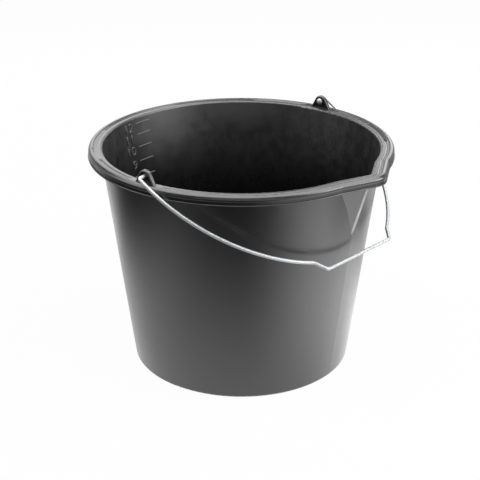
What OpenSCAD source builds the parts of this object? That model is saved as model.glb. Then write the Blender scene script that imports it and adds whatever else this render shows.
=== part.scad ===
// Round builder's bucket with a pouring spout, an inside litre scale and a swinging wire bail.
// Millimetres, +Z up. The origin is the centre of the foot on the floor, +X points to the spout
// and the two ears that carry the bail stand on the Y axis.

/* [Body] */
// Height from the floor to the top of the rim
height = 238; // [210:1:270]
// Outer diameter of the rim, at the lip of its skirt
rim_d = 319; // [300:1:340]
// Outer diameter of the wall at the floor, before its rounded edge
base_d = 235; // [215:1:250]
// Wall thickness
wall = 2.4; // [2:0.1:3]
// Thickness of the bottom
bottom_t = 2.6; // [2:0.1:4]
// Height of the hollow under the bottom, inside the foot
foot_lift = 3; // [1.5:0.5:5]
// Width of the ring that the bucket stands on
foot_w = 9; // [7:0.5:14]
// Slope of the hollow's side, as a width per height
foot_draft = 0.5; // [0.2:0.1:1]
// Radius of the outer edge at the floor
base_round = 2.5; // [2:0.25:4]
// Radius of the corner between the bottom and the wall, inside
inside_round = 8; // [5:0.5:12]

/* [Rim] */
// Width of the rim, from its inner edge to the lip of the skirt
rim_w = 14.7; // [13.5:0.1:16]
// Thickness of the rim's top and of its skirt
rim_t = 2.4; // [2.2:0.1:3]
// Depth of the skirt below the rim top
skirt_h = 8.6; // [7:0.2:11]
// Radius of the roll along the rim's outer edge
rim_round = 4; // [3.6:0.1:4.4]
// How far that roll stands above the rest of the rim's top
roll_rise = 1; // [0.7:0.1:1.3]
// How far the skirt stands back under that roll
skirt_back = 0.4; // [0.2:0.1:1]
// Radius of the rim's inner top edge
edge_round = 2; // [1:0.1:2]
// How far the lip along the bottom of the skirt stands out
lip_out = 0.5; // [0.3:0.1:0.8]
// Height of that lip
lip_h = 0.9; // [0.6:0.1:1.4]
// Distance from the rim's inner edge to the middle of the groove beside the roll
groove_at = 6.3; // [5.8:0.1:6.8]
// Radius of the groove's round bottom
groove_r = 2.2; // [1.8:0.1:3]
// Depth of the groove
groove_depth = 0.6; // [0.4:0.1:0.9]
// Flat pads interrupt the groove on each side: start of the front one, as an angle from the spout
front_pad_from = 40; // [30:1:45]
// End of the front pad
front_pad_to = 60; // [50:1:75]
// Start of the rear pad
rear_pad_from = 123; // [105:1:135]
// End of the rear pad
rear_pad_to = 156; // [140:1:170]
// How far the flat pad under an ear reaches past the ear on each side
ear_pad_over = 7; // [4:0.5:12]
// First gusset on each side, as an angle from the spout
gusset_from = 40; // [36:1:60]
// Number of gussets between the wall and the skirt
gusset_count = 20; // [12:1:28]
// Thickness of a gusset
gusset_t = 1.8; // [1.4:0.1:2.4]
// Distance from the bottom of the skirt up to a gusset
gusset_up = 1.6; // [1:0.1:3]

/* [Spout] */
// How far the two sides of the spout would meet in front of the inner edge, without the round tip
spout_reach = 13.2; // [10:0.2:15]
// Half the width of the spout where its sides leave the round inner edge
spout_half_w = 38.5; // [34:0.5:44]
// Radius of the tip, at the inner edge
tip_r = 10; // [7:0.5:13]
// Radius of the hollow blend between the spout and the round rim, at the inner edge
blend_r = 20; // [18:1:40]
// Depth below the rim top at which the spout's channel runs out in the wall
channel_depth = 71.5; // [55:0.5:85]
// Radius of the channel's ridge where it runs out
ridge_r = 1.5; // [1:0.1:2.5]

/* [Ears] */
// Height of an ear above the rim top
ear_h = 14; // [12.5:0.25:16]
// Radius of an ear's round top
ear_round = 7.4; // [7:0.1:7.8]
// Width of an ear where it meets the rim
ear_w = 24; // [20:0.5:26]
// Thickness of an ear
ear_t = 5; // [4.4:0.1:5.2]
// Distance from the rim's inner edge to the ear's inside face
ear_inset = 4.2; // [4:0.1:4.6]
// Height of the hole above the rim top
ear_hole_z = 8; // [7.4:0.1:8.4]
// Width of the raised arch round an ear
ear_border = 2.4; // [2:0.1:2.6]
// Radius of the arch's outer edges
ear_edge = 1.5; // [1:0.1:1.9]
// Depth of the web inside the arch, from the ear's outside face
ear_panel = 1.8; // [1.4:0.1:2.2]
// Depth of the web from the ear's inside face
ear_back = 0.4; // [0.2:0.1:0.8]
// Width of the boss round the hole
boss_w = 0.9; // [0.6:0.1:1]
// How far the boss stands out of the web
boss_out = 0.9; // [0.5:0.1:1.2]

/* [Bail] */
// Wire diameter
wire_d = 3.6; // [3.2:0.1:4.2]
// Clearance between the wire and the hole of an ear, all round
hole_play = 0.5; // [0.3:0.05:0.6]
// How far the arms keep outside the rim's diameter beside the ears, where they are still above it
arm_play = 0.3; // [0:0.1:1]
// Clearance between the grip and the tip of the spout, with the bail level
tip_play = 3; // [2:0.2:8]
// Radius of the bend beside each ear
ear_bend_r = 3.25; // [3:0.25:6]
// Half the length of the straight grip
grip_half = 51.5; // [42:0.5:58]
// Angle by which the hand-bent grip is out of square, its end on -Y nearer to the ears
grip_skew = 4; // [-5:0.5:5]
// Angle of the kink at each end of the grip
kink_angle = 51.5; // [42:0.5:60]
// Radius of that kink
kink_r = 5; // [4:0.5:7]
// Length of the straight piece behind the kink
jog = 12.2; // [9:0.2:16]
// Radius of the bend from that piece into the arm
jog_r = 6; // [5:0.5:8]
// How far the head on each end of the wire reaches past the hole, all round
head_over = 1.1; // [0.8:0.05:1.3]
// Thickness of that domed head in its middle
head_t = 2.6; // [2.2:0.1:3]
// Thickness of the head at its edge
head_edge = 0.8; // [0.5:0.1:1.2]
// Clearance between a head and the ear's inside face
head_play = 0.5; // [0.3:0.1:1]
// Angle below level at which the bail rests
rest_angle = 32.8; // [24:0.2:34]

/* [Scale] */
// Number of marks inside the wall, from the fullest downwards
mark_count = 11; // [6:1:11]
// Depth of the fullest mark below the rim top
mark_first = 7.3; // [6:0.1:9]
// Height of the lowest mark above the bottom
mark_last = 24; // [18:1:40]
// Growth of the distance from mark to mark as the bucket narrows, 0 for even distances
mark_growth = 0.43; // [0:0.01:0.5]
// Middle of the marks, as an angle from the spout
mark_angle = 177.4; // [160:0.1:200]
// Length of a mark
mark_len = 21; // [14:0.5:28]
// Diameter of a mark's round section
mark_w = 1.8; // [1.4:0.1:2.2]
// How far a mark stands out of the wall
mark_out = 0.7; // [0.4:0.05:0.8]

/* [Hidden] */
$fn = 96;

// wall: a cone between the foot and the rim's inner edge
rim_r = rim_d / 2;
base_r = base_d / 2;
inner_r = rim_r - rim_w;
slope = (inner_r + wall - base_r) / height;
slope_angle = atan(slope);
bottom_z = foot_lift + bottom_t;
wall_top = height - edge_round;

// bends and sweeps: short straight between two bends, and how far a piece reaches into the one
// that it joins; a straight run that enters a bend is slimmer by a hair
link = 2;
lap = 0.3;
hair = 0.01;

// how far a cut starts outside the solid
over = 1;

// spout: sides along two lines whose outward normals lie at +-side_angle to the spout's axis
chord_x = sqrt(inner_r * inner_r - spout_half_w * spout_half_w);
spout_tip = inner_r + spout_reach;
side_angle = atan((spout_tip - chord_x) / spout_half_w);
side_dist = spout_tip * cos(side_angle);
tip_x = (side_dist - tip_r) / cos(side_angle);
blend_reach = norm([inner_r + blend_r, link]);
blend_sweep = acos((side_dist + blend_r) / blend_reach) - atan(link / (inner_r + blend_r));
blend_start = side_angle - blend_sweep;
blend_out = [cos(blend_start), sin(blend_start)];
link_from = inner_r * blend_out + link * [blend_out.y, -blend_out.x];
blend_at = link_from + blend_r * blend_out;
side_normal = [cos(side_angle), sin(side_angle)];
side_from = [tip_x, 0] + tip_r * side_normal;
side_to = blend_at - blend_r * side_normal;
side_len = norm(side_to - side_from);
spout_nose = tip_x + tip_r + rim_w;

// rim: outside and inside face of the skirt and middle of the roll, measured from the inner edge, and
// half the groove's width
skirt_face = rim_w - lip_out - skirt_back;
skirt_in = skirt_face - rim_t;
roll_at = [rim_w - lip_out - rim_round, roll_rise - rim_round];
groove_half = sqrt(groove_depth * (2 * groove_r - groove_depth));

// half the flat pad at an ear, as an angle
ear_pad = asin((ear_w / 2 + ear_pad_over) / inner_r);

// thickness of the sheet that closes the mouth of the channel's form, and radius of its corners
leaf = 0.01;
leaf_r = 0.5;

// ears
ear_in = inner_r + ear_inset;
ear_out = ear_in + ear_t;
hole_d = wire_d + 2 * hole_play;
hinge_z = height + ear_hole_z;

// ear: straight flanks that touch the round top, with their outward normal at flank_angle
ear_top = [0, ear_h - ear_round];
ear_foot = [ear_w / 2, -lap];
foot_way = ear_foot - ear_top;
flank_angle = atan2(foot_way.y, foot_way.x) + acos(ear_round / norm(foot_way));
flank_len = sqrt(norm(foot_way) * norm(foot_way) - ear_round * ear_round);
flank_normal = [cos(flank_angle), sin(flank_angle)];

// heads on the ends of the wire
head_r = hole_d / 2 + head_over;
head_rise = head_t - head_edge;
dome_r = (head_r * head_r + head_rise * head_rise) / (2 * head_rise);

// bail, drawn in its own plane: x is the distance from the hinge axis, y runs along that axis
wire_r = wire_d / 2;
arm_y = rim_r + wire_r + arm_play;
grip_x = spout_nose + wire_r + tip_play;
arm_x = ear_bend_r + link;
head_y = ear_in - head_play;

// scale
mark_span = height - bottom_z - mark_last - mark_first;

// inner radius of the wall at a height above the floor
function inside_r(z) = inner_r - slope * (height - z);

// depth of mark m below the rim top, counted from the fullest
function mark_depth(m) = mark_first + mark_span * mark_part(m / (mark_count - 1));

// share of the way from the fullest to the lowest mark
function mark_part(u) = u + mark_growth * u * (u - 1);

bucket();
bail();

// half section from the axis to a sloping wall, standing on z = from_z with a round corner
module cup_half(from_z, wall_r, corner_r, top_z) {
    at = [wall_r + slope * (from_z + corner_r) - corner_r / cos(slope_angle), from_z + corner_r];
    polygon([
        [0, from_z],
        [at.x, from_z],
        at + corner_r * [cos(slope_angle), -sin(slope_angle)],
        [wall_r + slope * top_z, top_z],
        [0, top_z]
    ]);
    translate(at)
        circle(corner_r);
}

module outside_form() {
    rotate_extrude()
        intersection() {
            cup_half(0, base_r, base_round, wall_top);
            square([rim_r, wall_top]);
        }
}

module inside_form() {
    rotate_extrude()
        intersection() {
            cup_half(bottom_z, base_r - wall, inside_round, height + over);
            square([rim_r, height + over]);
        }
}

// hollow under the bottom, with a sloping side
module foot_hollow() {
    foot_r = base_r - foot_w;
    translate([0, 0, -over])
        cylinder(
            h = foot_lift + over,
            r1 = foot_r + over * foot_draft,
            r2 = foot_r - foot_lift * foot_draft
        );
}

// pointed channel that leads up to the spout, grown outwards by skin, with its mouth at top_z
module channel_form(skin, top_z) {
    run_out_r = inside_r(height - channel_depth) + skin - ridge_r;
    side_foot = (side_dist + skin - leaf_r) * side_normal;
    hull() {
        translate([tip_x, 0, top_z])
            cylinder(h = leaf, r = tip_r + skin, $fn = 64);
        for (side = [-1, 1])
            translate([side_foot.x, side * side_foot.y, top_z])
                cylinder(h = leaf, r = leaf_r, $fn = 16);
        translate([inner_r / 2, 0, top_z])
            cylinder(h = leaf, r = leaf_r, $fn = 16);
        translate([run_out_r, 0, height - channel_depth])
            sphere(ridge_r, $fn = 32);
    }
}

// sweeps a section along the spout: s runs outwards from the inner edge, z up from the rim top;
// the first child is the section of the bends, the second that of the straight runs
module along_spout() {
    translate([tip_x, 0, height])
        rotate([0, 0, -side_angle])
            rotate_extrude(angle = 2 * side_angle)
                translate([tip_r, 0])
                    children(0);
    for (side = [0, 1])
        mirror([0, side, 0]) {
            straight_run(side_to, side_angle, side_len)
                children(1);
            translate([blend_at.x, blend_at.y, height])
                rotate([0, 0, 180 + blend_start])
                    rotate_extrude(angle = blend_sweep)
                        translate([blend_r, 0])
                            mirror([1, 0])
                                children(0);
            straight_run(inner_r * blend_out, blend_start, link)
                children(1);
        }
}

// straight run of a section that faces the angle, from its end farther from the spout's axis
module straight_run(from, facing, len) {
    translate([from.x, from.y, height])
        rotate([90, 0, facing])
            translate([0, 0, -lap])
                linear_extrude(len + 2 * lap)
                    children();
}

// sweeps a section along the round part of the rim, between two angles from the spout's axis
module along_round(from, to) {
    translate([0, 0, height])
        rotate([0, 0, from])
            rotate_extrude(angle = to - from)
                translate([inner_r, 0])
                    children();
}

// rim section, slimmer by trim: a top with a groove, a raised roll along its outer edge and a skirt
// that stands back under the roll and ends in a lip
module rim_section(trim) {
    low = trim - skirt_h;
    difference() {
        union() {
            translate([trim, low])
                square([roll_at.x - trim, -low - trim]);
            translate(roll_at)
                circle(rim_round - trim);
            translate([0, low])
                square([skirt_face - trim, skirt_h - rim_round]);
        }
        translate([-over, low - over])
            square([skirt_in + trim + over, skirt_h - rim_t + over]);
        translate([edge_round, -edge_round])
            difference() {
                translate([-edge_round - over, 0])
                    square(edge_round + over);
                circle(edge_round - trim);
            }
        translate([groove_at, groove_r - groove_depth])
            circle(groove_r + trim);
    }
    translate([skirt_in + trim, low])
        square([rim_w - skirt_in - 2 * trim, lip_h - 2 * trim]);
}

// section of a pad that fills the groove and slopes up to the roll
module pad_section() {
    from = groove_at - groove_half - lap;
    low = -groove_depth - lap;
    polygon([[from, low], [from, 0], [roll_at.x, roll_rise - lap / 2], [roll_at.x, low]]);
}

module rim() {
    along_spout() {
        rim_section(0);
        rim_section(hair);
    }
    along_round(blend_start, 360 - blend_start)
        rim_section(0);
    for (side = [0, 1])
        mirror([0, side, 0]) {
            along_round(front_pad_from, front_pad_to)
                pad_section();
            along_round(90 - ear_pad, 90 + ear_pad)
                pad_section();
            along_round(rear_pad_from, rear_pad_to)
                pad_section();
        }
}

module gussets() {
    from_r = inner_r + wall - slope * skirt_h - lap;
    to_r = inner_r + skirt_in + lap;
    step = (360 - 2 * gusset_from) / (gusset_count - 1);
    for (i = [0 : gusset_count - 1])
        rotate([0, 0, gusset_from + step * i])
            translate([from_r, -gusset_t / 2, height - skirt_h + gusset_up])
                cube([to_r - from_r, gusset_t, skirt_h - rim_t - gusset_up + lap]);
}

// section of the arch round an ear, slimmer by trim: x points outwards, y runs through the ear
module arch_section(trim) {
    corner_x = ear_border - ear_edge;
    translate([trim, trim])
        square([corner_x - trim, ear_t - 2 * trim]);
    translate([trim, ear_edge])
        square([ear_border - 2 * trim, ear_t - 2 * ear_edge]);
    for (y = [ear_edge, ear_t - ear_edge])
        translate([corner_x, y])
            circle(ear_edge - trim);
}

// arch with a round top on straight flanks that spread to the rim
module ear_arch() {
    arch_r = ear_round - ear_border;
    flank_from = ear_top + arch_r * flank_normal;
    translate([ear_top.x, ear_top.y, 0])
        rotate([0, 0, flank_angle])
            rotate_extrude(angle = 180 - 2 * flank_angle)
                translate([arch_r, 0])
                    arch_section(0);
    for (side = [0, 1])
        mirror([side, 0, 0])
            translate([flank_from.x, flank_from.y, 0])
                rotate([90, 0, flank_angle])
                    translate([0, 0, -lap])
                        linear_extrude(flank_len + lap)
                            arch_section(hair);
}

// web inside the arch, with a boss round the hole
module ear_web() {
    middle_r = ear_round - ear_border / 2;
    touch = ear_top + middle_r * flank_normal;
    foot = touch + flank_len * [flank_normal.y, -flank_normal.x];
    translate([0, 0, ear_panel])
        linear_extrude(ear_t - ear_panel - ear_back) {
            polygon([foot, touch, ear_top, [-touch.x, touch.y], [-foot.x, foot.y]]);
            translate(ear_top)
                circle(middle_r);
        }
    translate([0, ear_hole_z, ear_panel - boss_out])
        cylinder(h = boss_out + lap, d = hole_d + 2 * boss_w);
}

module ear() {
    translate([0, ear_out, height])
        rotate([90, 0, 0]) {
            ear_arch();
            ear_web();
        }
}

module ear_holes() {
    translate([0, 0, hinge_z])
        rotate([90, 0, 0])
            cylinder(h = 2 * rim_d, d = hole_d, center = true);
}

module scale_marks() {
    for (m = [0 : mark_count - 1]) {
        z = height - mark_depth(m);
        turn = mark_len / inside_r(z) * 180 / PI;
        rotate([0, 0, mark_angle - turn / 2])
            rotate_extrude(angle = turn)
                translate([inside_r(z) - mark_out + mark_w / 2, z])
                    circle(d = mark_w);
    }
}

module wall_and_bottom() {
    difference() {
        union() {
            outside_form();
            channel_form(wall, wall_top - leaf);
        }
        inside_form();
        channel_form(0, height);
        foot_hollow();
    }
}

module bucket() {
    color([0.09, 0.09, 0.09])
        difference() {
            union() {
                wall_and_bottom();
                rim();
                gussets();
                for (side = [0, 1])
                    mirror([0, side, 0])
                        ear();
                scale_marks();
            }
            ear_holes();
        }
}

// straight piece of wire between two points of the bail's plane, entering the bends at its ends
module wire_run(from, to) {
    way = to - from;
    translate([from.x, from.y, 0])
        rotate([0, 90, atan2(way.y, way.x)])
            translate([0, 0, -lap])
                cylinder(h = norm(way) + 2 * lap, r = wire_r - hair);
}

// bent piece of wire round a point of the bail's plane
module wire_bend(at, bend_r, from, to) {
    translate([at.x, at.y, 0])
        rotate([0, 0, from])
            rotate_extrude(angle = to - from)
                translate([bend_r, 0])
                    circle(wire_r, $fn = 48);
}

// one half of the bail, from the end of the grip to the head inside the ear, with the grip turned
// by skew: a long arc leaves the ear square to the hinge axis and meets the bend behind the kink
module bail_arm(skew) {
    grip_end = [grip_x, 0] + grip_half * [-sin(skew), cos(skew)];
    kink_at = grip_end - kink_r * [cos(skew), sin(skew)];
    kink_to = skew + kink_angle;
    kink_out = [cos(kink_to), sin(kink_to)];
    jog_from = kink_at + kink_r * kink_out;
    jog_to = jog_from + jog * [-kink_out.y, kink_out.x];
    jog_at = jog_to + jog_r * kink_out;
    arm_slope = 90 - 2 * atan((arm_y - jog_at.y + jog_r) / (jog_at.x - arm_x + link));
    arm_r = (jog_at.x - arm_x - link * sin(arm_slope)) / cos(arm_slope) - jog_r;
    arm_at = [arm_x, arm_y - arm_r];
    arm_out = [cos(arm_slope), sin(arm_slope)];

    wire_bend(kink_at, kink_r, skew, kink_to);
    wire_run(jog_from, jog_to);
    wire_bend(jog_at, jog_r, 180 + arm_slope, 180 + kink_to);
    wire_run(jog_at - jog_r * arm_out, arm_at + arm_r * arm_out);
    wire_bend(arm_at, arm_r, arm_slope, 90);
    wire_run([arm_x, arm_y], [ear_bend_r, arm_y]);
    wire_bend([ear_bend_r, arm_y - ear_bend_r], ear_bend_r, 90, 180);
    wire_run([0, arm_y - ear_bend_r], [0, head_y]);
    translate([0, head_y, 0])
        rotate([90, 0, 0])
            wire_head();
}

// domed head on an end of the wire
module wire_head() {
    rotate_extrude()
        intersection() {
            translate([0, head_t - dome_r])
                circle(dome_r);
            square([head_r, head_t]);
        }
}

module bail() {
    grip_mid = [grip_x, 0];
    grip_way = grip_half * [sin(grip_skew), cos(grip_skew)];
    color([0.78, 0.79, 0.8])
        translate([0, 0, hinge_z])
            rotate([0, rest_angle, 0]) {
                wire_run(grip_mid - grip_way, grip_mid + grip_way);
                bail_arm(-grip_skew);
                mirror([0, 1, 0])
                    bail_arm(grip_skew);
            }
}
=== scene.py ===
"""Looks of a black builder's bucket with a galvanised wire bail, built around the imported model."""

import math

import bpy
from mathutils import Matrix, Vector


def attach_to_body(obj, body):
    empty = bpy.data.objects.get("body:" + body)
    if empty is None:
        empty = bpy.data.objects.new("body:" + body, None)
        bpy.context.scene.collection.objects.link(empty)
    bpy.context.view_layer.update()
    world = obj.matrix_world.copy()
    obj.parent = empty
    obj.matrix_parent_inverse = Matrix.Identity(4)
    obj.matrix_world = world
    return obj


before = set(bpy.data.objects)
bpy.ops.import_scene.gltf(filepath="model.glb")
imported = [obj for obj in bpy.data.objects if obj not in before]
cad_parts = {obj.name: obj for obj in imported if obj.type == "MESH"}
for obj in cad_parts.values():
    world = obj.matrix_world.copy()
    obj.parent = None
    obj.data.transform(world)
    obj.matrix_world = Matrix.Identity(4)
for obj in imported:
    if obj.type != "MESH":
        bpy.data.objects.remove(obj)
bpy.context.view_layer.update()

# Camera, fitted to the rim and foot of the bucket in the photograph
CAMERA_AT = (0.6941, -0.9302, 0.6354)
CAMERA_AZIMUTH = math.radians(36.8)
CAMERA_PITCH = math.radians(23.683)
FIELD_OF_VIEW = math.radians(23.17)

# Directions on the floor as the camera sees them: away from it and to its right
AWAY = Vector((-math.sin(CAMERA_AZIMUTH), math.cos(CAMERA_AZIMUTH), 0.0))
RIGHT = Vector((math.cos(CAMERA_AZIMUTH), math.sin(CAMERA_AZIMUTH), 0.0))

# Bucket, in metres: what the pieces added here and the material's wear, dust and painted light need to
# know of its form
HEIGHT = 0.238
INNER_R = 0.1448
BASE_R = 0.1175
WALL = 0.0024
BOTTOM_Z = 0.0056
SLOPE = (INNER_R + WALL - BASE_R) / HEIGHT

# Rim and spout: the inner edge's arcs and straights, and the section outwards from it
RIM_W = 0.0147
SKIRT_H = 0.0086
SPOUT_REACH = 0.0132
SPOUT_HALF_W = 0.0385
TIP_R = 0.010
BLEND_R = 0.020
LINK = 0.002
TIP_STEPS = 8
BLEND_STEPS = 6
ROUND_STEPS = 90

# Ridge of the channel under the spout: its lower end, how far it leans out, and the painted highlight on
# it
RIDGE_LOW_X = 0.1383
RIDGE_LOW_Z = 0.1665
RIDGE_LEAN = 0.294
RIDGE_LINE_Y = -0.0016
RIDGE_LINE_W = 0.0019
RIDGE_LINE_CORE = 0.00076
RIDGE_SKIN = (-0.0016, -0.0007)
RIDGE_FADE_LOW = 0.178
RIDGE_FADE_TOP = 0.001

# Rounded bead on the lip of the skirt: its radius, and how far its middle lies inside the lip's corner
BEAD_R = 0.0005
BEAD_IN = 0.00035
BEAD_UP = 0.00055
BEAD_SIDES = 10

# Plain pads in the rim's groove, as angles from the spout on either side, and the slopes at their ends
PADS = ((40.0, 60.0), (82.46, 97.54), (123.0, 156.0))
PAD_FROM = 0.0045
PAD_TO = 0.0102
PAD_RISE = 0.00085
PAD_LOW = -0.0016
RAMP_TURN = 3.2
RAMP_DROP = 0.001
RAMP_STEPS = 6

# Litre scale inside: the marks' heights follow the same rule as the moulded lines
FULLEST = 12
MARK_COUNT = 11
MARK_FIRST = 0.0073
MARK_LAST = 0.024
MARK_GROWTH = 0.43
MARK_ANGLE = math.radians(177.4)
MARK_LEN = 0.021
FIGURE_H = 0.0095
FIGURE_GAP = 0.0052
FIGURE_WIDER = 1.25
FIGURE_DROP = 0.0019
FIGURE_OUT = 0.0010
FIGURE_SINK = 0.0004
FIGURE_EDGE = 0.0004
CAP_SHARE = 0.69

# Black plastic: colours, gloss, and the scales of its patterns
PLASTIC = (0.003, 0.003, 0.0031)
# slightly lighter plastic for dust and scuffs, and for painted light near the rim inside
PLASTIC_DUST_AND_LIGHT = (0.005, 0.0051, 0.0051)
# lighter grey of the raised scale: rubbed wear and a painted highlight
PLASTIC_WORN_HIGHLIT = (0.05, 0.051, 0.05)
# light grey of the painted highlight along the channel's ridge
RIDGE_HIGHLIGHT = (0.34, 0.34, 0.34)
PLASTIC_GLOSS = 0.9
STREAK_SCALE = 14.0
STREAK_TURN = 9.0
STREAK_RISE = 3.0
MOTTLE_SCALE = 90.0
SPECK_SCALE = 420.0
GRAIN_SCALE = 1600.0
GRAIN_BUMP = 0.05
GRAIN_DEPTH = 0.0003

# Roughness of the plastic: over the streaks, more over the mottling, and more where it is dusty or worn
ROUGH_STREAK = (0.275, 0.295)
ROUGH_MOTTLE = (0.0, 0.02)
ROUGH_DUSTY = 0.1
ROUGH_WORN = 0.1

# Inside of the bucket: where it begins, how far down the dust and the painted light reach, and its
# roughness on the way up
EDGE_SOFT = 0.0004
INSIDE_TOP = (HEIGHT - 0.0016, HEIGHT - 0.0004)
INSIDE_LOW = (0.0045, 0.005)
DUST_AND_LIGHT_RISE = (HEIGHT - 0.13, HEIGHT - 0.02)
RUBBED_RISE = (-0.26, 0.2)
RAISED = (WALL / 2 + 0.0002, WALL / 2 + 0.0007)
RAISED_LOW = (0.012, 0.02)

# Galvanised wire: colour, share of its darker spangles, roughness, and the scales of its patterns
ZINC = (0.5, 0.51, 0.52)
ZINC_DARKER = 0.8
ZINC_ROUGH = (0.53, 0.66)
SPANGLE_SCALE = 420.0
CLOUD_SCALE = 130.0
DRAWN_SCALE = 1500.0
DRAWN_BUMP = 0.04
DRAWN_DEPTH = 0.0002

# Room: level of its walls in diffuse light and in gloss, and how they darken upwards and behind the camera
WHITE = (1.0, 1.0, 1.0, 1.0)
WALL_LEVELS = (0.8, 0.75)
WALL_TOP = (0.12, 0.5, 1.0, 0.06)
WALL_BEHIND = (-0.85, -0.3, 0.25, 1.0)

# Lamps, all as the camera sees them: name, place (away, right, up), width and height, level
LAMP_AIM = Vector((0.0, 0.0, 0.2))
LAMPS = (
    ("back_box_left", (1.4, -0.5, 0.85), (0.9, 0.7), 2.1),
    ("back_box_right", (1.4, 0.65, 0.85), (0.7, 0.7), 3.0),
    ("back_strip", (1.4, 0.1, 0.42), (1.4, 0.2), 1.4),
    ("right_box", (-0.45, 1.5, 1.0), (1.4, 1.3), 4.2),
    ("left_box", (-0.1, -1.5, 1.0), (1.0, 1.0), 2.8),
    ("front_strip", (-1.7, 0.0, 0.36), (2.0, 0.12), 3.5),
    ("front_box", (-1.9, 0.0, 1.3), (1.6, 1.2), 0.7),
)
RIGHT_STRIP = ("right_strip", (-0.3, 1.45, 0.48), (1.2, 0.34), 5.5)
TOP_BOX = ("top_box", (0.2, 0.0, 1.75), (3.0, 2.5), 4.0)
TOP_BOX_AIM = LAMP_AIM + AWAY * 0.19
FILL_BOX = ("fill_box", (-0.5, 0.0, 2.0), (1.8, 1.2), 1.5)

# Floor, and the two cards just over it that show only in gloss
FLOOR_GREY = (0.88, 0.88, 0.88, 1.0)
FLOOR_WHITE = 0.97
FLOOR_REACH = 4.0
FLOOR_Z = -0.0003
CLOTH_GREY = (0.012, 0.012, 0.012, 1.0)
CLOTH_Z = 0.0004
GLOW_Z = 0.0008
CARD_REACH = 2.0

# Fades over the cards, each from its start to where it is full, in metres from the middle of the floor
TABLE_AWAY = (-0.46, -0.08)
TABLE_RIGHT = (-0.5, -0.2)
BARE_RIGHT = (0.14, 0.34)
# the corner and the patch below are painted shade, seen only in gloss
CORNER_AWAY = (0.34, 0.46)
CORNER_RIGHT = (0.0, 0.15)
PATCH_RIGHT = (0.32, 0.39)
PATCH_NEAR = (-0.2, -0.08)
PATCH_FAR = (0.31, 0.2)
PATCH_SHARE = 0.9
RIGHT_POOL_IN = (0.0, 0.24)
RIGHT_POOL_OUT = (0.6, 0.3)
RIGHT_POOL_NEAR = (-0.5, -0.15)
RIGHT_POOL_FAR = (0.18, 0.03)
RIGHT_POOL_LEVEL = 1.05
NEAR_POOL_RIGHT = (-0.06, -0.2)
NEAR_POOL_LEVELS = (0.3, 0.16)
LEFT_POOL_RIGHT = (-0.16, -0.3)
LEFT_POOL_AWAY = (0.12, 0.3)
LEFT_POOL_LEVEL = 0.7


def inside_r(z):
    """Inner radius of the wall at a height above the floor."""
    return INNER_R - SLOPE * (HEIGHT - z)


def mark_z(m):
    """Height of mark m, counted from the fullest."""
    u = m / (MARK_COUNT - 1)
    span = HEIGHT - BOTTOM_Z - MARK_LAST - MARK_FIRST
    return HEIGHT - MARK_FIRST - span * (u + MARK_GROWTH * u * (u - 1))


class Nodes:
    """Short way to add and link the nodes of one material or world."""

    def __init__(self, tree):
        self.tree = tree
        tree.nodes.clear()

    def add(self, kind, inputs=None, **settings):
        node = self.tree.nodes.new(kind)
        for name, value in settings.items():
            setattr(node, name, value)
        for name, value in (inputs or {}).items():
            socket = node.inputs[name]
            if isinstance(value, bpy.types.NodeSocket):
                self.tree.links.new(value, socket)
            else:
                socket.default_value = value
        return node

    def math(self, operation, a, b=0.0, clamp=False):
        return self.add("ShaderNodeMath", {0: a, 1: b}, operation=operation, use_clamp=clamp).outputs[0]

    def between(self, value, low, high, to_low=0.0, to_high=1.0):
        """Smooth step of a value from one range to another."""
        inputs = {"Value": value, "From Min": low, "From Max": high, "To Min": to_low, "To Max": to_high}
        return self.add("ShaderNodeMapRange", inputs, interpolation_type="SMOOTHSTEP").outputs[0]

    def noise(self, at, scale, detail=2.0, rough=0.5):
        inputs = {"Vector": at, "Scale": scale, "Detail": detail, "Roughness": rough}
        return self.add("ShaderNodeTexNoise", inputs).outputs["Fac"]

    def mix_colour(self, factor, a, b):
        node = self.add("ShaderNodeMix", data_type="RGBA")
        sockets = [s for s in node.inputs if s.enabled]
        for socket, value in zip(sockets, (factor, a, b)):
            if isinstance(value, bpy.types.NodeSocket):
                self.tree.links.new(value, socket)
            else:
                socket.default_value = value if isinstance(value, float) else (*value, 1.0)
        return next(s for s in node.outputs if s.enabled)

    def finish_surface(self, shader):
        self.add("ShaderNodeOutputMaterial", {"Surface": shader})


def new_material(name):
    material = bpy.data.materials.new(name)
    material.use_nodes = True
    return material, Nodes(material.node_tree)


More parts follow.
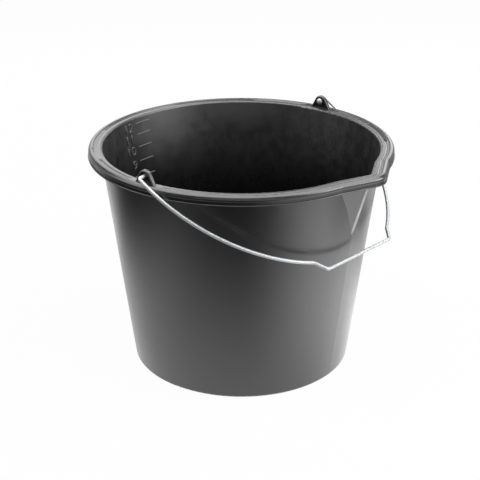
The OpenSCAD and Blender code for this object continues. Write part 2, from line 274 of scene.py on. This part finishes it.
def plastic_material():
    """Satin black polyethylene: moulded grain, faint upright streaks, scuffs, a dusty inside with painted
    light towards the rim, rubbed wear with a painted highlight on the scale, and a painted highlight along
    the channel's ridge.
    """
    material, n = new_material("black_plastic")
    at = n.add("ShaderNodeTexCoord").outputs["Object"]
    part = n.add("ShaderNodeSeparateXYZ", {"Vector": at})
    x, y, z = (part.outputs[k] for k in "XYZ")
    radius = n.math("SQRT", n.math("ADD", n.math("MULTIPLY", x, x), n.math("MULTIPLY", y, y)))
    angle = n.math("ARCTAN2", y, x)

    # inside of the cone: 1 on the inner wall and the bottom, 0 outside
    wall_r = n.math("ADD", INNER_R - SLOPE * HEIGHT + WALL / 2, n.math("MULTIPLY", z, SLOPE))
    depth = n.math("SUBTRACT", wall_r, radius)
    within = n.between(depth, -EDGE_SOFT, EDGE_SOFT)
    between_ends = n.math("MULTIPLY", n.between(z, *INSIDE_TOP, 1.0, 0.0), n.between(z, *INSIDE_LOW))
    inside = n.math("MULTIPLY", within, between_ends)

    # upright streaks, sampled round the bucket, and mottling
    turned = n.math("MULTIPLY", angle, STREAK_TURN)
    risen = n.math("MULTIPLY", z, STREAK_RISE)
    round_at = n.add("ShaderNodeCombineXYZ", {"X": turned, "Y": risen, "Z": radius})
    streak = n.noise(round_at.outputs[0], STREAK_SCALE, 4.0, 0.62)
    mottle = n.noise(at, MOTTLE_SCALE, 4.0, 0.6)
    speck = n.noise(at, SPECK_SCALE, 2.0, 0.5)
    grain = n.noise(at, GRAIN_SCALE, 2.0, 0.6)

    # dust in clouds on the upper part of the inside, lighter towards the rim as painted light that fades
    # with depth, and small scuffs everywhere
    clouds = n.math("ADD", mottle, n.math("MULTIPLY", streak, 0.4))
    dust_and_light = n.math("MULTIPLY", n.between(clouds, 0.45, 0.95, 0.25, 1.0), n.between(z, *DUST_AND_LIGHT_RISE))
    dust_and_light = n.math("MULTIPLY", inside, dust_and_light)
    scuff = n.math("MULTIPLY", n.between(speck, 0.64, 0.74), n.between(mottle, 0.5, 0.62))
    haze = n.math("ADD", dust_and_light, n.math("MULTIPLY", scuff, 0.25), clamp=True)
    colour = n.mix_colour(haze, PLASTIC, PLASTIC_DUST_AND_LIGHT)

    # the raised lines and figures of the scale are lighter grey: partly rubbed wear, partly a painted
    # highlight
    raised = n.math("MULTIPLY", n.between(depth, *RAISED), inside)
    raised = n.math("MULTIPLY", raised, n.between(z, *RAISED_LOW))
    worn_and_highlight = n.math("MULTIPLY", raised, n.between(speck, 0.3, 0.6, 0.5, 1.0))
    colour = n.mix_colour(worn_and_highlight, colour, PLASTIC_WORN_HIGHLIT)
    # a painted highlight in light grey along the ridge of the channel under the spout
    colour = n.mix_colour(ridge_highlight_mask(n, x, y, z, speck), colour, RIDGE_HIGHLIGHT)

    # the inside is rubbed smoother towards the bottom and duller towards the rim
    mottled = n.between(mottle, 0.35, 0.65, *ROUGH_MOTTLE)
    rough = n.math("ADD", n.between(streak, 0.3, 0.7, *ROUGH_STREAK), mottled)
    rough = n.math("ADD", rough, n.math("MULTIPLY", haze, ROUGH_DUSTY))
    rubbed = n.between(z, *DUST_AND_LIGHT_RISE, *RUBBED_RISE)
    rough = n.math("MULTIPLY", rough, n.math("ADD", n.math("MULTIPLY", inside, rubbed), 1.0))
    rough = n.math("ADD", rough, n.math("MULTIPLY", worn_and_highlight, ROUGH_WORN))
    height = n.math("ADD", n.math("MULTIPLY", grain, 0.5), n.math("MULTIPLY", speck, 0.5))
    bump = n.add("ShaderNodeBump", {"Strength": GRAIN_BUMP, "Distance": GRAIN_DEPTH, "Height": height})
    inputs = {
        "Base Color": colour,
        "Roughness": rough,
        "Normal": bump.outputs[0],
        "Specular IOR Level": PLASTIC_GLOSS,
    }
    n.finish_surface(n.add("ShaderNodeBsdfPrincipled", inputs).outputs[0])
    return material


def ridge_highlight_mask(n, x, y, z, speck):
    """1 on the painted highlight along the ridge of the channel under the spout."""
    ridge_x = n.math("ADD", n.math("MULTIPLY", z, RIDGE_LEAN), RIDGE_LOW_X - RIDGE_LEAN * RIDGE_LOW_Z)
    on_ridge = n.between(n.math("SUBTRACT", x, ridge_x), *RIDGE_SKIN)
    off_line = n.math("ABSOLUTE", n.math("SUBTRACT", y, RIDGE_LINE_Y))
    line = n.math("MULTIPLY", on_ridge, n.between(off_line, RIDGE_LINE_W, RIDGE_LINE_CORE))
    skirt_z = HEIGHT - SKIRT_H
    under_skirt = n.between(z, skirt_z, skirt_z - RIDGE_FADE_TOP)
    run = n.math("MULTIPLY", n.between(z, RIDGE_LOW_Z, RIDGE_FADE_LOW), under_skirt)
    return n.math("MULTIPLY", n.math("MULTIPLY", line, run), n.between(speck, 0.3, 0.6, 0.7, 1.0))


def zinc_material():
    """Galvanised steel wire: bright, with a faint spangle and a drawn grain."""
    material, n = new_material("galvanised_wire")
    at = n.add("ShaderNodeTexCoord").outputs["Object"]
    spangle = n.add("ShaderNodeTexVoronoi", {"Vector": at, "Scale": SPANGLE_SCALE}).outputs["Color"]
    spangle = n.add("ShaderNodeSeparateColor", {"Color": spangle}).outputs[0]
    cloud = n.noise(at, CLOUD_SCALE, 3.0, 0.6)
    drawn = n.noise(at, DRAWN_SCALE, 2.0, 0.5)
    dark = tuple(ZINC_DARKER * c for c in ZINC)
    light_share = n.math("ADD", n.math("MULTIPLY", spangle, 0.2), n.math("MULTIPLY", cloud, 0.6))
    colour = n.mix_colour(light_share, dark, ZINC)
    rough = n.math("ADD", cloud, n.math("MULTIPLY", spangle, 0.15))
    rough = n.between(rough, 0.3, 1.0, *ZINC_ROUGH)
    bump = n.add("ShaderNodeBump", {"Strength": DRAWN_BUMP, "Distance": DRAWN_DEPTH, "Height": drawn})
    inputs = {"Base Color": colour, "Metallic": 1.0, "Roughness": rough, "Normal": bump.outputs[0]}
    n.finish_surface(n.add("ShaderNodeBsdfPrincipled", inputs).outputs[0])
    return material


def dress(node, material):
    """Gives a carried-over node its finish."""
    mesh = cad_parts[node].data
    mesh.materials.clear()
    mesh.materials.append(material)


def figure_mesh(text):
    """Flat figures of the scale as a closed, raised mesh: x to the right, y up, z out of the wall."""
    curve = bpy.data.curves.new("figure_" + text, "FONT")
    curve.body = text
    curve.align_x = "RIGHT"
    curve.align_y = "BOTTOM_BASELINE"
    curve.size = FIGURE_H / CAP_SHARE
    curve.extrude = (FIGURE_OUT + FIGURE_SINK) / 2 - FIGURE_EDGE
    curve.bevel_depth = FIGURE_EDGE
    curve.bevel_resolution = 1
    curve.offset = -FIGURE_EDGE
    curve.resolution_u = 6
    holder = bpy.data.objects.new("figure_" + text, curve)
    bpy.context.scene.collection.objects.link(holder)
    bpy.context.view_layer.update()
    mesh = bpy.data.meshes.new_from_object(holder.evaluated_get(bpy.context.evaluated_depsgraph_get()))
    bpy.data.objects.remove(holder)
    return mesh


def attach(name, mesh, material):
    """Adds a mesh to the scene as a piece that rides on the bucket."""
    mesh.materials.clear()
    mesh.materials.append(material)
    piece = bpy.data.objects.new(name, mesh)
    bpy.context.scene.collection.objects.link(piece)
    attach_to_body(piece, "bucket")


def scale_figures(material):
    """Figures beside the moulded lines, bent round the sloping inner wall."""
    lean = math.atan(SLOPE)
    for m in range(MARK_COUNT):
        mesh = figure_mesh(str(FULLEST - m))
        middle_z = mark_z(m) - FIGURE_DROP
        from_angle = MARK_ANGLE + (MARK_LEN / 2 + FIGURE_GAP) / inside_r(middle_z)
        for vertex in mesh.vertices:
            right, up, out = vertex.co
            z = middle_z + (up - FIGURE_H / 2) * math.cos(lean)
            out += (FIGURE_OUT - FIGURE_SINK) / 2
            radius = inside_r(z) - out
            angle = from_angle - right * FIGURE_WIDER / inside_r(middle_z)
            vertex.co = (radius * math.cos(angle), radius * math.sin(angle), z)
        attach(f"scale_figure_{FULLEST - m}", mesh, material)


def inner_edge():
    """Inner edge of the rim from the spout's tip to the back on +Y: points, each with its way outwards."""
    chord_x = math.sqrt(INNER_R**2 - SPOUT_HALF_W**2)
    spout_tip = INNER_R + SPOUT_REACH
    side = math.atan((spout_tip - chord_x) / SPOUT_HALF_W)
    side_dist = spout_tip * math.cos(side)
    tip_at = Vector(((side_dist - TIP_R) / math.cos(side), 0.0))
    reach = math.hypot(INNER_R + BLEND_R, LINK)
    sweep = math.acos((side_dist + BLEND_R) / reach) - math.atan(LINK / (INNER_R + BLEND_R))
    start = side - sweep
    start_out = Vector((math.cos(start), math.sin(start)))
    blend_at = (INNER_R + BLEND_R) * start_out + LINK * Vector((start_out.y, -start_out.x))

    def arc(middle, radius, first, last, steps):
        for k in range(steps + 1):
            angle = first + (last - first) * k / steps
            out = Vector((math.cos(angle), math.sin(angle)))
            yield middle + radius * out, out

    edge = list(arc(tip_at, TIP_R, 0.0, side, TIP_STEPS))
    edge += arc(blend_at, -BLEND_R, side, start, BLEND_STEPS)
    edge += arc(Vector((0.0, 0.0)), INNER_R, start, math.pi, ROUND_STEPS)
    return edge


def mirrored_loop(edge):
    """Whole loop from its half on +Y, whose first and last points lie on the mirror plane."""
    back = [(Vector((at.x, -at.y)), Vector((out.x, -out.y))) for at, out in edge[-2:0:-1]]
    return edge + back


def add_piece(name, points, faces, material, smooth):
    """Piece of the bucket made of points and faces."""
    mesh = bpy.data.meshes.new(name)
    mesh.from_pydata(points, [], faces)
    mesh.polygons.foreach_set("use_smooth", [smooth] * len(mesh.polygons))
    attach(name, mesh, material)


def lip_bead(material):
    """Rounds the edge of the lip along the bottom of the skirt, which catches the light as a thin line."""
    loop = mirrored_loop(inner_edge())
    points = []
    for at, out in loop:
        for j in range(BEAD_SIDES):
            turn = 2 * math.pi * j / BEAD_SIDES
            place = at + out * (RIM_W - BEAD_IN + BEAD_R * math.cos(turn))
            z = HEIGHT - SKIRT_H + BEAD_UP + BEAD_R * math.sin(turn)
            points.append((place.x, place.y, z))
    faces = []
    for i in range(len(loop)):
        here = i * BEAD_SIDES
        there = (i + 1) % len(loop) * BEAD_SIDES
        for j in range(BEAD_SIDES):
            k = (j + 1) % BEAD_SIDES
            faces.append((here + j, there + j, there + k, here + k))
    add_piece("lip_bead", points, faces, material, True)


def groove_ramps(material):
    """Slopes that lead from the bottom of the rim's groove up to the ends of the plain pads."""
    points = []
    faces = []
    ends = [(pad[end], turn) for pad in PADS for end, turn in ((0, -RAMP_TURN), (1, RAMP_TURN))]
    for side in (-1, 1):
        for angle, turn in ends:
            add_ramp(points, faces, side * angle, side * turn)
    add_piece("groove_ramps", points, faces, material, False)


def add_ramp(points, faces, from_angle, turn):
    """Wedge from a pad's end, at an angle from the spout, that runs down along the groove."""
    first = len(points)
    for k in range(RAMP_STEPS + 1):
        share = k / RAMP_STEPS
        angle = math.radians(from_angle + turn * share)
        drop = RAMP_DROP * share
        section = ((PAD_FROM, PAD_LOW), (PAD_FROM, -drop), (PAD_TO, PAD_RISE - drop), (PAD_TO, PAD_LOW))
        for out, up in section:
            radius = INNER_R + out
            points.append((radius * math.cos(angle), radius * math.sin(angle), HEIGHT + up))
    rings = [[first + 4 * k + j for j in range(4)] for k in range(RAMP_STEPS + 1)]
    loops = [(rings[0][3], rings[0][2], rings[0][1], rings[0][0]), tuple(rings[-1])]
    for near, far in zip(rings, rings[1:]):
        for j in range(4):
            i = (j + 1) % 4
            loops.append((near[j], near[i], far[i], far[j]))
    faces.extend(loops if turn < 0 else [loop[::-1] for loop in loops])


def shows_background(n):
    """1 for rays that show the background: from the camera, and by way of gloss or glass."""
    path = n.add("ShaderNodeLightPath").outputs
    seen = n.math("MAXIMUM", path["Is Camera Ray"], path["Is Glossy Ray"])
    return n.math("MAXIMUM", seen, path["Is Transmission Ray"])


def make_world():
    """White walls behind and beside the object, dark overhead and in front; white to the camera."""
    world = bpy.data.worlds.new("studio")
    world.use_nodes = True
    bpy.context.scene.world = world
    n = Nodes(world.node_tree)
    way = n.add("ShaderNodeTexCoord").outputs["Generated"]
    up = n.add("ShaderNodeSeparateXYZ", {"Vector": way}).outputs["Z"]
    away = n.add("ShaderNodeVectorMath", {0: way, 1: AWAY}, operation="DOT_PRODUCT").outputs["Value"]
    walls = n.between(shows_background(n), 0.0, 1.0, *WALL_LEVELS)
    room = n.math("MULTIPLY", walls, n.between(up, *WALL_TOP))
    room = n.math("MULTIPLY", room, n.between(away, *WALL_BEHIND))
    strength = n.math("MAXIMUM", n.add("ShaderNodeLightPath").outputs["Is Camera Ray"], room)
    sky = n.add("ShaderNodeBackground", {"Color": WHITE, "Strength": strength})
    n.add("ShaderNodeOutputWorld", {"Surface": sky.outputs[0]})


def floor_material():
    """Pale floor that shows as the white background and keeps a soft shadow."""
    material, n = new_material("floor")
    lit = n.add("ShaderNodeBsdfDiffuse", {"Color": FLOOR_GREY})
    white = n.add("ShaderNodeEmission", {"Color": WHITE, "Strength": 1.0})
    share = n.math("MULTIPLY", shows_background(n), FLOOR_WHITE)
    mixed = n.add("ShaderNodeMixShader", {0: share, 1: lit.outputs[0], 2: white.outputs[0]})
    n.finish_surface(mixed.outputs[0])
    return material


def stage_plane(name, reach, z, material):
    """Square sheet of the stage, level with the floor."""
    corners = [(-reach, -reach, z), (reach, -reach, z), (reach, reach, z), (-reach, reach, z)]
    mesh = bpy.data.meshes.new(name)
    mesh.from_pydata(corners, [], [range(len(corners))])
    mesh.materials.append(material)
    plane = bpy.data.objects.new(name, mesh)
    bpy.context.scene.collection.objects.link(plane)
    return plane


def make_floor():
    stage_plane("floor", FLOOR_REACH, FLOOR_Z, floor_material())


def seen_from_camera(away, right, up):
    return AWAY * away + RIGHT * right + Vector((0.0, 0.0, up))


def softbox(name, place, size, level, aim=LAMP_AIM):
    """Rectangular lamp whose face is as bright as level times white."""
    lamp = bpy.data.lights.new(name, "AREA")
    lamp.shape = "RECTANGLE"
    lamp.size, lamp.size_y = size
    lamp.energy = level * math.pi * size[0] * size[1]
    holder = bpy.data.objects.new(name, lamp)
    holder.location = seen_from_camera(*place)
    holder.rotation_euler = (aim - holder.location).to_track_quat("-Z", "Y").to_euler()
    holder.visible_camera = False
    bpy.context.scene.collection.objects.link(holder)
    return holder


def make_lights():
    """Softboxes all round; two of them show only in gloss, and one only on dull surfaces."""
    for lamp in LAMPS:
        softbox(*lamp)
    softbox(*RIGHT_STRIP).visible_diffuse = False
    softbox(*TOP_BOX, aim=TOP_BOX_AIM).visible_diffuse = False
    softbox(*FILL_BOX).visible_glossy = False


def floor_place(n):
    """Place on the floor as the camera sees it: how far away from the middle, and how far to the right."""
    at = n.add("ShaderNodeNewGeometry").outputs["Position"]
    away = n.add("ShaderNodeVectorMath", {0: at, 1: AWAY}, operation="DOT_PRODUCT").outputs["Value"]
    right = n.add("ShaderNodeVectorMath", {0: at, 1: RIGHT}, operation="DOT_PRODUCT").outputs["Value"]
    return away, right


def table_share(n, away, right):
    """1 on the white table top, fading to 0 where the dark cloth round it begins."""
    return n.math("MULTIPLY", n.between(away, *TABLE_AWAY), n.between(right, *TABLE_RIGHT))


def cloth_material():
    """Dark cloth in front of the white table top and to its left, and two dark patches of painted shade to
    its right.
    """
    material, n = new_material("cloth")
    away, right = floor_place(n)
    bare = n.math("MAXIMUM", table_share(n, away, right), n.between(right, *BARE_RIGHT))
    # painted shade: two dark patches to the right, seen only in gloss
    painted_shade_corner = n.math("MULTIPLY", n.between(away, *CORNER_AWAY), n.between(right, *CORNER_RIGHT))
    painted_shade_patch = n.math("MULTIPLY", n.between(right, *PATCH_RIGHT), n.between(away, *PATCH_NEAR))
    painted_shade_patch = n.math("MULTIPLY", painted_shade_patch, n.between(away, *PATCH_FAR, 0.0, PATCH_SHARE))
    bare = n.math("SUBTRACT", bare, n.math("ADD", painted_shade_corner, painted_shade_patch), clamp=True)
    cloth = n.add("ShaderNodeBsdfDiffuse", {"Color": CLOTH_GREY})
    gap = n.add("ShaderNodeBsdfTransparent")
    mixed = n.add("ShaderNodeMixShader", {0: bare, 1: cloth.outputs[0], 2: gap.outputs[0]})
    n.finish_surface(mixed.outputs[0])
    return material


def glow_material():
    """Pools of light on the table: a weak one round the bucket, and others to its right and left."""
    material, n = new_material("glow")
    away, right = floor_place(n)
    across = n.math("MULTIPLY", n.between(right, *RIGHT_POOL_IN), n.between(right, *RIGHT_POOL_OUT))
    along = n.math("MULTIPLY", n.between(away, *RIGHT_POOL_NEAR), n.between(away, *RIGHT_POOL_FAR))
    right_pool = n.math("MULTIPLY", n.math("MULTIPLY", across, along), RIGHT_POOL_LEVEL)
    near_level = n.between(right, *NEAR_POOL_RIGHT, *NEAR_POOL_LEVELS)
    near_pool = n.math("MULTIPLY", table_share(n, away, right), near_level)
    left_level = n.between(away, *LEFT_POOL_AWAY, 0.0, LEFT_POOL_LEVEL)
    left_pool = n.math("MULTIPLY", n.between(right, *LEFT_POOL_RIGHT), left_level)
    level = n.math("ADD", n.math("ADD", right_pool, left_pool), near_pool)
    glow = n.add("ShaderNodeEmission", {"Color": WHITE, "Strength": level})
    gap = n.add("ShaderNodeBsdfTransparent")
    both = n.add("ShaderNodeAddShader", {0: glow.outputs[0], 1: gap.outputs[0]})
    n.finish_surface(both.outputs[0])
    return material


def make_card(name, z, material):
    """Sheet over the floor that shows only in the gloss of the object."""
    card = stage_plane(name, CARD_REACH, z, material)
    card.visible_camera = False
    card.visible_diffuse = False
    card.visible_shadow = False


def make_camera():
    lens = bpy.data.cameras.new("camera")
    lens.sensor_width = 36.0
    lens.angle = FIELD_OF_VIEW
    camera = bpy.data.objects.new("camera", lens)
    camera.location = CAMERA_AT
    camera.rotation_euler = (math.pi / 2 - CAMERA_PITCH, 0.0, CAMERA_AZIMUTH)
    bpy.context.scene.collection.objects.link(camera)
    bpy.context.scene.camera = camera


plastic = plastic_material()
dress("bucket", plastic)
dress("bail", zinc_material())
scale_figures(plastic)
lip_bead(plastic)
groove_ramps(plastic)
make_world()
make_floor()
make_card("cloth", CLOTH_Z, cloth_material())
make_card("glow", GLOW_Z, glow_material())
make_lights()
make_camera()
bpy.context.scene.view_settings.view_transform = "Standard"
